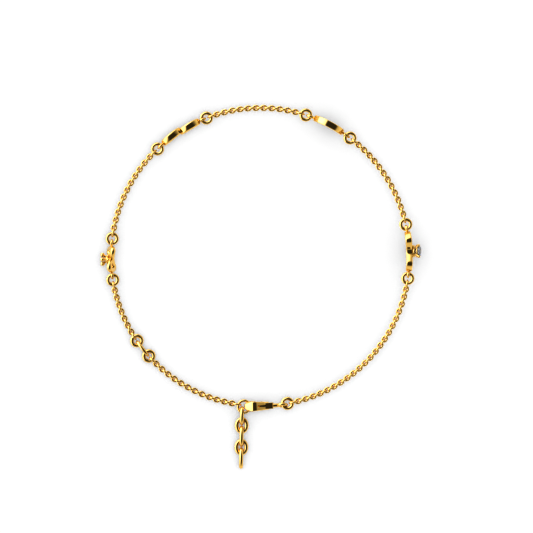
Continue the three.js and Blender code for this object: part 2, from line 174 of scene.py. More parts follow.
@dataclass(frozen=True)
class PolishedGold:
    """Cast and tumbled 18 karat yellow gold, buffed to a mirror.

    The eye gets sharp reflections in a warm yellow, softened a little by the buffing haze.
    """

    name: str = "polished_yellow_gold"
    colour: str = "#F3CC77"
    deep_colour: str = "#EDC36A"
    tone_mm: float = 2.5
    haze_mm: float = 0.35
    # Real buffing marks are finer; they are drawn coarser so that they show
    mark_mm: float = 0.06
    roughness_low: float = 0.03
    roughness_high: float = 0.08
    mark_depth_mm: float = 0.0004
    mark_strength: float = 0.4
    haze_low: float = 0.3
    haze_high: float = 0.7

    def material(self) -> bpy.types.Material:
        """Build the gold, with its tone, buffing haze and faint polishing marks.

        Returns:
            The material.
        """
        material, tree = blank_material(self.name)
        place = add_node(tree, "ShaderNodeTexCoord", {}, {}).outputs["Object"]
        haze = grain(tree, place, self.haze_mm)
        marks = grain(tree, place, self.mark_mm)
        colour = two_tone(tree, grain(tree, place, self.tone_mm), self.colour, self.deep_colour)
        rough = add_node(
            tree,
            "ShaderNodeMapRange",
            {},
            {
                "Value": haze,
                "From Min": self.haze_low,
                "From Max": self.haze_high,
                "To Min": self.roughness_low,
                "To Max": self.roughness_high,
            },
        )
        bump = add_node(
            tree,
            "ShaderNodeBump",
            {},
            {"Strength": self.mark_strength, "Distance": self.mark_depth_mm * MM, "Height": marks},
        )
        shader = add_node(
            tree,
            "ShaderNodeBsdfPrincipled",
            {},
            {
                "Base Color": colour,
                "Metallic": 1.0,
                "Roughness": rough.outputs["Result"],
                "Normal": bump.outputs["Normal"],
            },
        )
        add_node(tree, "ShaderNodeOutputMaterial", {}, {"Surface": shader.outputs[0]})
        return material


@dataclass(frozen=True)
class CutDiamond:
    """Colourless diamond, cut and polished: bright flashes, and grey-blue where it looks dark."""

    name: str = "cut_diamond"
    colour: str = "#E2E9EE"
    cool_colour: str = "#C9D3DC"
    cloud_mm: float = 0.5
    ior: float = 2.417

    def material(self) -> bpy.types.Material:
        """Build the clear stone, with a cool cast that comes and goes across it.

        Returns:
            The material.
        """
        material, tree = blank_material(self.name)
        place = add_node(tree, "ShaderNodeTexCoord", {}, {}).outputs["Object"]
        colour = two_tone(tree, grain(tree, place, self.cloud_mm), self.colour, self.cool_colour)
        shader = add_node(
            tree,
            "ShaderNodeBsdfPrincipled",
            {},
            {
                "Base Color": colour,
                "Roughness": 0.0,
                "IOR": self.ior,
                "Transmission Weight": 1.0,
            },
        )
        add_node(tree, "ShaderNodeOutputMaterial", {}, {"Surface": shader.outputs[0]})
        return material


@dataclass(frozen=True)
class WhiteTable:
    """Matt white light table, lit a little from below, so that its shadows stay pale and soft."""

    name: str = "white_light_table"
    colour: str = "#F4F4F4"
    fibre_colour: str = "#F2F2F2"
    fibre_mm: float = 3.0
    roughness: float = 0.9
    glow: float = 0.42

    def material(self) -> bpy.types.Material:
        """Build the table top, with a trace of paper fibre, drawn coarser than real.

        Returns:
            The material.
        """
        material, tree = blank_material(self.name)
        place = add_node(tree, "ShaderNodeTexCoord", {}, {}).outputs["Object"]
        colour = two_tone(tree, grain(tree, place, self.fibre_mm), self.colour, self.fibre_colour)
        shader = add_node(
            tree,
            "ShaderNodeBsdfPrincipled",
            {},
            {
                "Base Color": colour,
                "Roughness": self.roughness,
                "Specular IOR Level": 0.0,
                "Emission Color": colour,
                "Emission Strength": self.glow,
            },
        )
        add_node(tree, "ShaderNodeOutputMaterial", {}, {"Surface": shader.outputs[0]})
        return material


# Meshes


class Form:
    """A mesh under construction, in millimetres."""

    def __init__(self) -> None:
        """Start with no corners and no faces."""
        self.corners: list[Vector] = []
        self.faces: list[tuple[int, ...]] = []

    def loft(self, rings: Sequence[Sequence[Vector]], around: bool = False) -> "Form":
        """Join rings of corners with faces.

        Args:
            rings: Closed rings with one count of corners; an end ring may be a single corner.
            around: Join the last ring to the first, instead of closing both ends.

        Returns:
            This form.
        """
        starts = []
        for ring in rings:
            starts.append(len(self.corners))
            self.corners.extend(Vector(corner) for corner in ring)
        last = len(rings) if around else len(rings) - 1
        for i in range(last):
            k = (i + 1) % len(rings)
            self.band(starts[i], len(rings[i]), starts[k], len(rings[k]))
        if not around:
            for i in (0, len(rings) - 1):
                if len(rings[i]) > 2:
                    self.faces.append(tuple(range(starts[i], starts[i] + len(rings[i]))))
        return self

    def band(self, first: int, first_count: int, second: int, second_count: int) -> None:
        """Join two rings, either of which may be a single corner.

        Args:
            first: Number of the first ring's first corner.
            first_count: Corners in the first ring.
            second: Number of the second ring's first corner.
            second_count: Corners in the second ring.
        """
        for i in range(max(first_count, second_count)):
            j = i + 1
            face = [first + i % first_count, first + j % first_count]
            face += [second + j % second_count, second + i % second_count]
            self.faces.append(tuple(dict.fromkeys(face)))

    def wire(
        self, path: Sequence[Vector], radii: Sequence[float], sides: int, closed: bool
    ) -> "Form":
        """Sweep a round wire along a path.

        Args:
            path: Points of the wire's middle.
            radii: The wire's radius at each point.
            sides: Corners round the wire.
            closed: Whether the path runs back into its start.

        Returns:
            This form.
        """
        count = len(path)
        alongs = []
        for i in range(count):
            before = path[i - 1] if closed or i > 0 else path[0]
            after = path[(i + 1) % count] if closed or i < count - 1 else path[-1]
            alongs.append((after - before).normalized())
        side = alongs[0].orthogonal().normalized()
        sides_at = [side]
        for i in range(1, count + 1):
            turn = alongs[i - 1].rotation_difference(alongs[i % count])
            side = turn @ side
            sides_at.append(side)
        twist = 0.0
        if closed:
            cross = sides_at[count].cross(sides_at[0]).dot(alongs[0])
            twist = math.atan2(cross, sides_at[count].dot(sides_at[0]))
        rings = []
        for i in range(count):
            turn = Matrix.Rotation(twist * i / count, 3, alongs[i])
            u = turn @ sides_at[i]
            v = alongs[i].cross(u)
            angles = [2 * math.pi * k / sides for k in range(sides)]
            ring = [path[i] + radii[i] * (math.cos(a) * u + math.sin(a) * v) for a in angles]
            rings.append(ring)
        return self.loft(rings, around=closed)

    def lathe(self, profile: Sequence[tuple[float, float]], sides: int) -> "Form":
        """Turn a profile of radius and height about +Z, closed at both ends.

        Args:
            profile: Radius and height pairs; a radius of zero is a point.
            sides: Corners round the axis.

        Returns:
            This form.
        """
        rings = []
        for radius, height in profile:
            if radius == 0:
                rings.append([Vector((0, 0, height))])
                continue
            angles = [2 * math.pi * k / sides for k in range(sides)]
            ring = [Vector((radius * math.cos(a), radius * math.sin(a), height)) for a in angles]
            rings.append(ring)
        return self.loft(rings)

    def ball(self, centre: Vector, radius: float) -> "Form":
        """Add a round bead.

        Args:
            centre: The bead's middle.
            radius: Its radius.

        Returns:
            This form.
        """
        angles = [math.pi * i / BEAD_STEPS for i in range(BEAD_STEPS + 1)]
        profile = [(radius * math.sin(a), -radius * math.cos(a)) for a in angles]
        profile[0] = (0, -radius)
        profile[-1] = (0, radius)
        return self.add(Form().lathe(profile, BEAD_SIDES).place(Matrix.Translation(centre)))

    def add(self, other: "Form", place: Matrix | None = None) -> "Form":
        """Take in another form.

        Args:
            other: The form to take in.
            place: Where it goes, if it isn't in place already.

        Returns:
            This form.
        """
        start = len(self.corners)
        self.corners.extend(place @ c if place else c.copy() for c in other.corners)
        self.faces.extend(tuple(start + i for i in face) for face in other.faces)
        return self

    def place(self, matrix: Matrix) -> "Form":
        """Move the form."""
        self.corners = [matrix @ corner for corner in self.corners]
        return self

    def bend(self, radius: float) -> "Form":
        """Curve a flat form, which runs along X with +Y inwards, round a loop.

        Args:
            radius: The loop's radius.

        Returns:
            This form.
        """
        bent = []
        for corner in self.corners:
            turn = corner.x / radius
            reach = radius - corner.y
            bent.append(Vector((reach * math.sin(turn), radius - reach * math.cos(turn), corner.z)))
        self.corners = bent
        return self

    def build(
        self, name: str, material: bpy.types.Material, shading: Shading = Shading.ROUND
    ) -> bpy.types.Object:
        """Make a Blender object of the form.

        Args:
            name: The object's name.
            material: Its finish.
            shading: How it shades across its edges.

        Returns:
            The object, in metres.
        """
        mesh = bpy.data.meshes.new(name)
        mesh.from_pydata([MM * corner for corner in self.corners], [], self.faces)
        work = bmesh.new()
        work.from_mesh(mesh)
        bmesh.ops.recalc_face_normals(work, faces=work.faces)
        work.to_mesh(mesh)
        work.free()
        piece = bpy.data.objects.new(name, mesh)
        bpy.context.scene.collection.objects.link(piece)
        mesh.materials.append(material)
        shade(mesh, shading)
        return piece


def shade(mesh: bpy.types.Mesh, shading: Shading) -> None:
    """Set a mesh's faces smooth or flat, with sharp edges past the shading's angle.

    Args:
        mesh: The mesh to shade.
        shading: How it shades across its edges.
    """
    if shading is Shading.FACETED:
        mesh.shade_flat()
        return
    mesh.shade_smooth()
    if shading is Shading.CRISP:
        mesh.set_sharp_from_angle(angle=math.radians(shading.value))


def carve(piece: bpy.types.Object, tool: Form, action: Carve) -> None:
    """Cut a piece with a tool, or keep only what lies inside it.

    Args:
        piece: The object to carve.
        tool: The tool's form, in place.
        action: What to do.
    """
    cutter = tool.build("carving_tool", piece.data.materials[0])
    modifier = piece.modifiers.new("carve", "BOOLEAN")
    modifier.operation = action.value
    modifier.object = cutter
    modifier.solver = "EXACT"
    graph = bpy.context.evaluated_depsgraph_get()
    carved = bpy.data.meshes.new_from_object(piece.evaluated_get(graph))
    piece.modifiers.clear()
    old = piece.data
    piece.data = carved
    carved.name = old.name
    bpy.data.meshes.remove(old)
    used = cutter.data
    bpy.data.objects.remove(cutter)
    bpy.data.meshes.remove(used)
    shade(carved, Shading.CRISP)


def join(name: str, parts: Sequence[bpy.types.Object]) -> bpy.types.Object:
    """Join soldered parts into one piece.

    Args:
        name: The piece's name.
        parts: Objects whose meshes are in place.

    Returns:
        The first object, with all the meshes.
    """
    work = bmesh.new()
    for part in parts:
        work.from_mesh(part.data)
    first = parts[0]
    work.to_mesh(first.data)
    work.free()
    for part in parts[1:]:
        spare = part.data
        bpy.data.objects.remove(part)
        bpy.data.meshes.remove(spare)
    first.name = name
    return first


def enter(piece: bpy.types.Object, node: str, body: str = ROOT) -> None:
    """Put a finished piece on its body, in place of its CAD node.

    Args:
        piece: The finished object.
        node: The CAD node that it is seen instead of.
        body: The body that it rides on.
    """
    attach(piece, body)
    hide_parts(node)
    LOG.info("%s: %d faces", piece.name, len(piece.data.polygons))


@dataclass(frozen=True)
class Fineness:
    """How finely a wire is drawn: points along it and corners round it."""

    steps: int
    sides: int


def oval_path(length: float, width: float, steps: int) -> list[Vector]:
    """Points of an oval in the XY plane, its long side along X."""
    turns = [2 * math.pi * i / steps for i in range(steps)]
    return [Vector((length / 2 * math.cos(t), width / 2 * math.sin(t), 0)) for t in turns]


def oval_link(length: float, width: float, wire: float, fine: Fineness) -> Form:
    """A closed oval of round wire, lying flat, sized over its outside."""
    path = oval_path(length - wire, width - wire, fine.steps)
    return Form().wire(path, [wire / 2] * fine.steps, fine.sides, closed=True)


def round_link(radius: float, wire: float, fine: Fineness) -> Form:
    """A closed ring of round wire, lying flat, sized over its middle line."""
    across = 2 * radius + wire
    return oval_link(across, across, wire, fine)


def smooth_path(knots: Sequence[Vector], steps: int) -> list[Vector]:
    """Points on a smooth curve through knots.

    Args:
        knots: Points that the curve passes.
        steps: Points for each span between two knots.

    Returns:
        Points from the first knot to the last.
    """
    ends = [2 * knots[0] - knots[1], *knots, 2 * knots[-1] - knots[-2]]
    path = []
    for i in range(1, len(ends) - 2):
        a, b, c, d = ends[i - 1 : i + 3]
        for step in range(steps):
            t = step / steps
            bent = 2 * b + (c - a) * t + (2 * a - 5 * b + 4 * c - d) * t**2
            path.append(0.5 * (bent + (3 * b - a - 3 * c + d) * t**3))
    path.append(Vector(knots[-1]))
    return path


def inset(outline: Sequence[Vector], depth: float) -> list[Vector]:
    """Move an outline inwards.

    Args:
        outline: Its corners in X and Y, counterclockwise.
        depth: How far it moves; a negative depth moves it outwards.

    Returns:
        The moved corners.
    """
    count = len(outline)
    moved = []
    for i, point in enumerate(outline):
        along = (outline[(i + 1) % count] - outline[i - 1]).normalized()
        moved.append(point + depth * Vector((-along.y, along.x)))
    return moved


def upright(outline: Sequence[Vector], depth: float) -> list[Vector]:
    """Stand an XY outline up in the XZ plane, at a depth along Y."""
    return [Vector((point.x, depth, point.y)) for point in outline]


def edge_rings(
    outline: Sequence[Vector], half: float, bevel: float, sign: float
) -> list[list[Vector]]:
    """Rings round a plate's rounded edge, from its outer face to its inner one.

    Args:
        outline: The plate's outline, or a hole's.
        half: Half the plate's thickness.
        bevel: Radius of the rounded edge.
        sign: One for an outline, minus one for a hole.

    Returns:
        The rings, in order.
    """
    turns = [math.pi / 2 * i / EDGE_STEPS for i in range(EDGE_STEPS + 1)]
    rings = [upright(inset(outline, sign * FACE_INSET * bevel), -half)]
    for turn in turns:
        depth = -half + bevel * (1 - math.cos(turn))
        rings.append(upright(inset(outline, sign * bevel * (1 - math.sin(turn))), depth))
    for turn in reversed(turns):
        depth = half - bevel * (1 - math.cos(turn))
        rings.append(upright(inset(outline, sign * bevel * (1 - math.sin(turn))), depth))
    rings.append(upright(inset(outline, sign * FACE_INSET * bevel), half))
    return rings


def solid_plate(outline: Sequence[Vector], thickness: float, bevel: float) -> Form:
    """Make a plate with rounded edges, standing in the XZ plane, its faces in rings for bending.

    Args:
        outline: The plate's outline in X and Y, about its middle.
        thickness: Its thickness.
        bevel: Radius of its rounded edges.

    Returns:
        The plate.
    """
    edge = edge_rings(outline, thickness / 2, bevel, 1)
    shares = [FACE_RING_SHARE * i for i in range(1, FACE_RINGS + 1)]
    front = [[Vector((c.x * s, c.y, c.z * s)) for c in edge[0]] for s in shares]
    back = [[Vector((c.x * s, c.y, c.z * s)) for c in edge[-1]] for s in reversed(shares)]
    middle = [[Vector((0, y, 0))] for y in (-thickness / 2, thickness / 2)]
    return Form().loft([middle[0], *front, *edge, *back, middle[1]])


def open_plate(
    outline: Sequence[Vector], hole: Sequence[Vector], thickness: float, bevel: float
) -> Form:
    """Make a plate with rounded edges and an open middle, standing in the XZ plane.

    Args:
        outline: The plate's outline in X and Y.
        hole: The hole's outline, with as many corners.
        thickness: The plate's thickness.
        bevel: Radius of its rounded edges.

    Returns:
        The plate.
    """
    outer = edge_rings(outline, thickness / 2, bevel, 1)
    inner = edge_rings(hole, thickness / 2, bevel, -1)
    return Form().loft([*outer, *reversed(inner)], around=True)


def block(low: tuple[float, float, float], high: tuple[float, float, float]) -> Form:
    """Make a plain block for carving.

    Args:
        low: Its lowest corner.
        high: Its highest corner.

    Returns:
        The block.
    """
    (x0, y0, z0), (x1, y1, z1) = low, high
    plan = ((x0, y0), (x1, y0), (x1, y1), (x0, y1))
    return Form().loft([[Vector((x, y, z)) for x, y in plan] for z in (z0, z1)])


# Places


@dataclass(frozen=True)
class Loop:
    """The circle that the bracelet is laid in.

    A station's frame has +X along the loop, +Y inwards and +Z up.
    """

    radius: float = 28.4
    marker: str = "disc_ring_1"
    marker_angle: float = 52.9

    @property
    def centre(self) -> Vector:
        """The loop's centre, worked out from one ring of known angle."""
        ring = node_centre(self.marker)
        return Vector((ring.x, ring.y, 0)) - self.spoke(math.radians(self.marker_angle))

    def spoke(self, turn: float) -> Vector:
        """The way from the loop's centre to the loop, at an angle in radians."""
        return Vector((self.radius * math.cos(turn), self.radius * math.sin(turn), 0))

    def frame(self, angle: float, height: float, slope: float = 0.0) -> Matrix:
        """A station's frame.

        Args:
            angle: Degrees counterclockwise from +X.
            height: Height above the table.
            slope: Climb along the loop, in radians.

        Returns:
            The frame, in millimetres.
        """
        turn = math.radians(angle)
        along = Vector((-math.sin(turn), math.cos(turn), math.tan(slope))).normalized()
        inwards = Vector((-math.cos(turn), -math.sin(turn), 0))
        up = along.cross(inwards)
        matrix = Matrix((along, inwards, up)).transposed().to_4x4()
        matrix.translation = self.centre + self.spoke(turn) + Vector((0, 0, height))
        return matrix

    def shift(self, arc: float) -> Matrix:
        """Move along the loop by an arc length, within a station's frame."""
        out = Matrix.Translation((0, self.radius, 0))
        return out @ Matrix.Rotation(arc / self.radius, 4, "Z") @ out.inverted()


def node_centre(node: str) -> Vector:
    """The middle of a CAD node's box, in millimetres."""
    low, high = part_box(node)
    return (Vector(low) + Vector(high)) / (2 * MM)


@dataclass(frozen=True)
class Station:
    """A charm, the sizing link or the clasp: the angles of its two ring centres.

    Its links are those of the chain that follows it.
    """

    name: str
    start: float
    end: float
    links: int

    @property
    def middle(self) -> float:
        """The angle halfway between its rings."""
        return (self.start + self.end) / 2

    @property
    def height(self) -> float:
        """The height of its rings above the table."""
        return node_centre(f"{self.name}_ring_1").z

    def half_arc(self, loop: Loop) -> float:
        """Half the arc between its ring centres."""
        return math.radians(self.end - self.start) / 2 * loop.radius

    def frame(self, loop: Loop) -> Matrix:
        """The frame of its middle."""
        return loop.frame(self.middle, self.height)


STATIONS = (
    Station("heart", -8.25, 12.6, 25),
    Station("disc", 52.9, 72.1, 23),
    Station("ovals", 111.1, 133.5, 23),
    Station("infinity", 172.9, 188.8, 15),
    Station("sizing", 214.2, 221.65, 25),
    Station("clasp", 263.9, 280.63, 45),
)


# Chain and rings


@dataclass(frozen=True)
class RingSize:
    """A jump ring: the radius of its middle line and its wire."""

    radius: float
    wire: float

    @property
    def hollow(self) -> float:
        """The radius of its opening."""
        return self.radius - self.wire / 2


@dataclass(frozen=True)
class JumpRings:
    """Round rings that join charms, chain and clasp, lying flat."""

    plain: RingSize = RingSize(0.93, 0.66)
    sizing: RingSize = RingSize(0.945, 0.72)
    end: RingSize = RingSize(1.15, 0.52)
    fine: Fineness = Fineness(56, 20)

    def size(self, station: str, side: int) -> RingSize:
        """Give the size of a ring.

        Args:
            station: The station's name.
            side: 1 at the station's start and 2 at its end.

        Returns:
            The ring's size.
        """
        if station == "sizing":
            return self.sizing
        return self.end if (station, side) == ("clasp", 1) else self.plain

    def build(self, station: Station, gold: bpy.types.Material) -> None:
        """Make both rings of a station.

        Args:
            station: The station.
            gold: The wire's finish.
        """
        for side in (1, 2):
            node = f"{station.name}_ring_{side}"
            ring = self.size(station.name, side)
            form = round_link(ring.radius, ring.wire, self.fine)
            piece = form.place(Matrix.Translation(node_centre(node))).build(f"{node}_round", gold)
            enter(piece, node)


@dataclass(frozen=True)
class CableChain:
    """Fine cable chain of oval links, on edge and flat in turn, the end ones on edge."""

    loop: Loop
    rings: JumpRings
    wire: float = 0.39
    width: float = 1.23
    contact: float = 0.37
    end_extra: float = 0.4
    end_width: float = 1.62
    play: float = 0.03
    fine: Fineness = Fineness(26, 12)

    def build(self, station: Station, after: Station, gold: bpy.types.Material) -> None:
        """Make the chain from one station's end ring to the next one's start ring.

        Args:
            station: Where the chain starts.
            after: Where it ends.
            gold: The wire's finish.
        """
        end = after.start if after.start > station.end else after.start + 360
        arc = math.radians(end - station.end) * self.loop.radius
        climb = after.height - station.height
        first = self.inset(self.rings.size(station.name, 2))
        span = arc - first - self.inset(self.rings.size(after.name, 1))
        count = station.links
        reach = (span - 2 * self.end_extra + (count - 1) * self.contact) / count
        whole = Form()
        place = first
        for i in range(count):
            at_end = i in (0, count - 1)
            length = reach + (self.end_extra if at_end else 0)
            width = self.end_width if at_end else self.width
            middle = place + length / 2
            angle = station.end + math.degrees(middle / self.loop.radius)
            height = station.height + climb * middle / arc
            matrix = self.loop.frame(angle, height, math.atan(climb / arc))
            if i % 2 == 0:
                matrix = matrix @ Matrix.Rotation(math.pi / 2, 4, "X")
            whole.add(oval_link(length + self.wire, width, self.wire, self.fine), matrix)
            place += length - self.contact
        node = f"chain_after_{station.name}"
        enter(whole.build(f"{node}_links", gold), node)

    def inset(self, ring: RingSize) -> float:
        """How far from a ring's centre the first link's end wire lies."""
        return ring.hollow - self.play - self.wire / 2


@dataclass(frozen=True)
class Eyelets:
    """Oval wire eyelets soldered to both ends of a charm."""

    loop: Loop
    rings: JumpRings
    wire: float = 0.52
    width: float = 1.56
    play: float = 0.03
    sink: float = 0.22
    fine: Fineness = Fineness(40, 14)

    def form(self, station: Station, charm_end: float) -> Form:
        """Make both eyelets of a charm.

        Args:
            station: The charm's station.
            charm_end: How far from its middle the charm's own metal ends.

        Returns:
            The eyelets, in the charm's frame.
        """
        inner = self.rings.plain.hollow - self.play - self.wire
        outer_end = station.half_arc(self.loop) - inner
        length = outer_end - charm_end + self.sink
        both = Form()
        for side in (1, -1):
            turn = Matrix.Rotation(math.pi / 2, 4, "X")
            link = oval_link(length, self.width, self.wire, self.fine).place(turn)
            both.add(link, self.loop.shift(side * (outer_end - length / 2)))
        return both


# Charms


def heart_outline(width: float, lean: float) -> list[Vector]:
    """Corners of a heart in X and Y, counterclockwise; y = 0 is the line of the eyelets.

    Args:
        width: Width over both lobes.
        lean: Degrees that the heart leans sideways.

    Returns:
        The corners.
    """
    lobe = Vector((0.2436 * width, 0.047 * width))
    lobe_radius = 0.2564 * width
    tip = Vector((0, -0.48 * width))
    tip_radius = 0.05 * width
    crest_radius = 0.12 * width
    cleft_radius = 0.13 * width
    shoulder = math.radians(50)
    into_cleft = math.radians(37)
    down = tip - lobe
    side = math.atan2(down.y, down.x) + math.acos((lobe_radius - tip_radius) / down.length)
    rise = (lobe_radius - crest_radius) * (1 - math.sin(shoulder)) / math.cos(shoulder)
    along = Vector((-math.sin(shoulder), math.cos(shoulder)))
    out = Vector((math.cos(shoulder), math.sin(shoulder)))
    crest = lobe + (lobe_radius - crest_radius) * out + rise * along
    slope_top = crest + crest_radius * Vector((-math.sin(into_cleft), math.cos(into_cleft)))
    slope_foot_x = cleft_radius * math.sin(into_cleft)
    slope_foot_y = slope_top.y - (slope_top.x - slope_foot_x) * math.tan(into_cleft)
    cleft = Vector((0, slope_foot_y + cleft_radius * math.cos(into_cleft)))
    half = arc_points(tip, tip_radius, -math.pi / 2, side, 10)
    half += arc_points(lobe, lobe_radius, side, shoulder, 44)
    half += arc_points(crest, crest_radius, shoulder, math.pi / 2 + into_cleft, 20)
    half += arc_points(cleft, cleft_radius, into_cleft - math.pi / 2, -math.pi / 2, 12)
    mirrored = [Vector((-point.x, point.y)) for point in reversed(half[1:-1])]
    turn = Matrix.Rotation(math.radians(lean), 2)
    return [turn @ point for point in half + mirrored]


def arc_points(
    centre: Vector, radius: float, start: float, end: float, steps: int
) -> list[Vector]:
    """Points on an arc, both ends included."""
    turns = [start + (end - start) * i / steps for i in range(steps + 1)]
    return [centre + radius * Vector((math.cos(t), math.sin(t))) for t in turns]


@dataclass(frozen=True)
class ProngHead:
    """Four prongs that narrow to a waist and open to a bead each, with a gallery ring and a rail.

    Foot and shoulder are shares of the opening, waist and rail are shares of the stone, and the
    heights are shares of the girdle's. Hold is the share of a bead that stands past the stone.
    """

    stone: float
    wire: float
    bead: float
    girdle: float
    turn: float
    rail: bool = False
    play: float = 0.05
    hold: float = 1.0
    prongs: int = 4
    sink: float = 0.1
    foot: float = 0.9
    waist: float = 0.4
    waist_height: float = 0.36
    shoulder: float = 0.75
    shoulder_height: float = 0.66
    gallery_wire: float = 1.1
    gallery_height: float = 0.22
    rail_across: float = 1.04
    rail_wire: float = 0.14
    rail_drop: float = 0.2
    prong_fine: Fineness = Fineness(8, 14)
    gallery_fine: Fineness = Fineness(48, 14)
    rail_fine: Fineness = Fineness(56, 14)

    def form(self) -> Form:
        """Make the head.

        Returns:
            The head, its base at z = 0 and its stone facing +Z.
        """
        opening = self.stone / 2 + self.hold * self.bead + self.play
        waist = self.waist * self.stone
        knots = [
            Vector((self.foot * opening, 0, -self.sink)),
            Vector((waist, 0, self.waist_height * self.girdle)),
            Vector((self.shoulder * opening, 0, self.shoulder_height * self.girdle)),
            Vector((opening, 0, self.girdle - self.sink)),
        ]
        path = smooth_path(knots, self.prong_fine.steps)
        radii = [self.wire / 2] * len(path)
        prong = Form().wire(path, radii, self.prong_fine.sides, closed=False)
        prong.ball(knots[-1], self.bead)
        head = Form()
        for i in range(self.prongs):
            turn = self.turn + 2 * math.pi * i / self.prongs
            head.add(prong, Matrix.Rotation(turn, 4, "Z"))
        gallery = round_link(waist, self.gallery_wire * self.wire, self.gallery_fine)
        head.add(gallery, Matrix.Translation((0, 0, self.gallery_height * self.girdle)))
        if self.rail:
            across = self.rail_across * self.stone
            under = oval_link(across, across, self.rail_wire * self.stone, self.rail_fine)
            drop = self.rail_drop * self.stone
            head.add(under, Matrix.Translation((0, 0, self.girdle - drop)))
        return head


def facing_out(base: float) -> Matrix:
    """Turns +Z outwards from the loop, with the base a length off the loop line."""
    return Matrix.Translation((0, -base, 0)) @ Matrix.Rotation(math.pi / 2, 4, "X")


@dataclass(frozen=True)
class Brilliant:
    """Round brilliant: table, stars, kites, girdle, pavilion mains and halves."""

    diameter: float
    table: float = 0.56
    crown: float = 0.15
    girdle: float = 0.024
    pavilion: float = 0.43
    star: float = 0.8
    lower: float = 0.3

    def build(self, name: str, place: Matrix, diamond: bpy.types.Material) -> bpy.types.Object:
        """Make the stone from the corners of its facets.

        Args:
            name: The piece's name.
            place: Frame with +Z out of the table and the girdle at z = 0.
            diamond: Its finish.

        Returns:
            The stone.
        """
        radius = self.diameter / 2
        half = math.cos(math.pi / 8)
        rise = self.crown / (1 - self.table)
        edge = self.girdle / 2
        work = bmesh.new()
        work.verts.new(place @ Vector((0, 0, -(edge + self.pavilion) * self.diameter)) * MM)
        for i in range(8):
            main = i * math.pi / 4
            between = main + math.pi / 8
            corners = (
                (self.table, main, edge + self.crown),
                (self.star, between, edge + rise * (1 - self.star * half)),
                (1.0, main, edge),
                (1.0, between, edge),
                (1.0, main, -edge),
                (1.0, between, -edge),
                (self.lower, between, -edge - self.pavilion * (1 - self.lower * half)),
            )
            for share, turn, height in corners:
                x = share * radius * math.cos(turn)
                y = share * radius * math.sin(turn)
                work.verts.new((place @ Vector((x, y, height * self.diameter))) * MM)
        bmesh.ops.convex_hull(work, input=work.verts)
        flat = math.radians(SAME_FACET)
        bmesh.ops.dissolve_limit(work, angle_limit=flat, verts=work.verts, edges=work.edges)
        bmesh.ops.recalc_face_normals(work, faces=work.faces)
        mesh = bpy.data.meshes.new(name)
        work.to_mesh(mesh)
        work.free()
        mesh.materials.append(diamond)
        shade(mesh, Shading.FACETED)
        stone = bpy.data.objects.new(name, mesh)
        bpy.context.scene.collection.objects.link(stone)
        return stone


@dataclass(frozen=True)
class HeartCharm:
    """Solid heart plate, curved with the loop, with a diamond on its outer face."""

    station: Station
    loop: Loop
    eyelets: Eyelets
    head: ProngHead = ProngHead(
        stone=2.4, wire=0.42, bead=0.26, girdle=1.28, turn=math.pi / 4, rail=True
    )
    width: float = 7.6
    thickness: float = 1.22
    bevel: float = 0.22
    lean: float = 4.0

    def build(self, gold: bpy.types.Material, diamond: bpy.types.Material) -> None:
        """Make the charm and its stone.

        Args:
            gold: The charm's finish.
            diamond: The stone's finish.
        """
        outline = heart_outline(self.width, self.lean)
        charm = solid_plate(outline, self.thickness, self.bevel).bend(self.loop.radius)
        charm.add(self.head.form(), facing_out(self.thickness / 2))
        charm.add(self.eyelets.form(self.station, self.width / 2))
        frame_here = self.station.frame(self.loop)
        enter(charm.place(frame_here).build("heart_plate", gold), "heart_charm")
        place = frame_here @ facing_out(self.thickness / 2 + self.head.girdle)
        stone = Brilliant(self.head.stone).build("heart_brilliant", place, diamond)
        enter(stone, "heart_diamond")


@dataclass(frozen=True)
class DiscCharm:
    """Plain round disc, curved with the loop."""

    station: Station
    loop: Loop
    eyelets: Eyelets
    radius: float = 3.1
    thickness: float = 1.24
    bevel: float = 0.18
    steps: int = 160

    def build(self, gold: bpy.types.Material) -> None:
        """Make the charm.

        Args:
            gold: Its finish.
        """
        outline = arc_points(Vector((0, 0)), self.radius, 0, 2 * math.pi, self.steps)[:-1]
        charm = solid_plate(outline, self.thickness, self.bevel).bend(self.loop.radius)
        charm.add(self.eyelets.form(self.station, self.radius))
        piece = charm.place(self.station.frame(self.loop)).build("disc_plate", gold)
        enter(piece, "disc_charm")


@dataclass(frozen=True)
class TwinOvalsCharm:
    """Two broad open ovals side by side, turned a little so that they cross where they meet."""

    station: Station
    loop: Loop
    eyelets: Eyelets
    half_width: float = 2.2
    half_height: float = 1.75
    hole_half_width: float = 1.42
    hole_half_height: float = 1.0
    centre: float = 1.93
    thickness: float = 1.32
    step: float = 0.1
    tilt: float = 2.4
    bevel: float = 0.3
    steps: int = 120

    def build(self, gold: bpy.types.Material) -> None:
        """Make the charm.

        Args:
            gold: Its finish.
        """
        outer = oval_path(2 * self.half_width, 2 * self.half_height, self.steps)
        inner = oval_path(2 * self.hole_half_width, 2 * self.hole_half_height, self.steps)
        outline = [point.xy for point in outer]
        hole = [point.xy for point in inner]
        turn = Matrix.Rotation(math.radians(self.tilt), 4, "Z")
        charm = Form()
        for side in (1, -1):
            oval = open_plate(outline, hole, self.thickness, self.bevel)
            oval.place(Matrix.Translation((0, -side * self.step, 0))).bend(self.loop.radius)
            charm.add(oval, self.loop.shift(side * self.centre) @ turn)
        charm.add(self.eyelets.form(self.station, self.centre + self.half_width))
        piece = charm.place(self.station.frame(self.loop)).build("twin_ovals", gold)
        enter(piece, "ovals_charm")


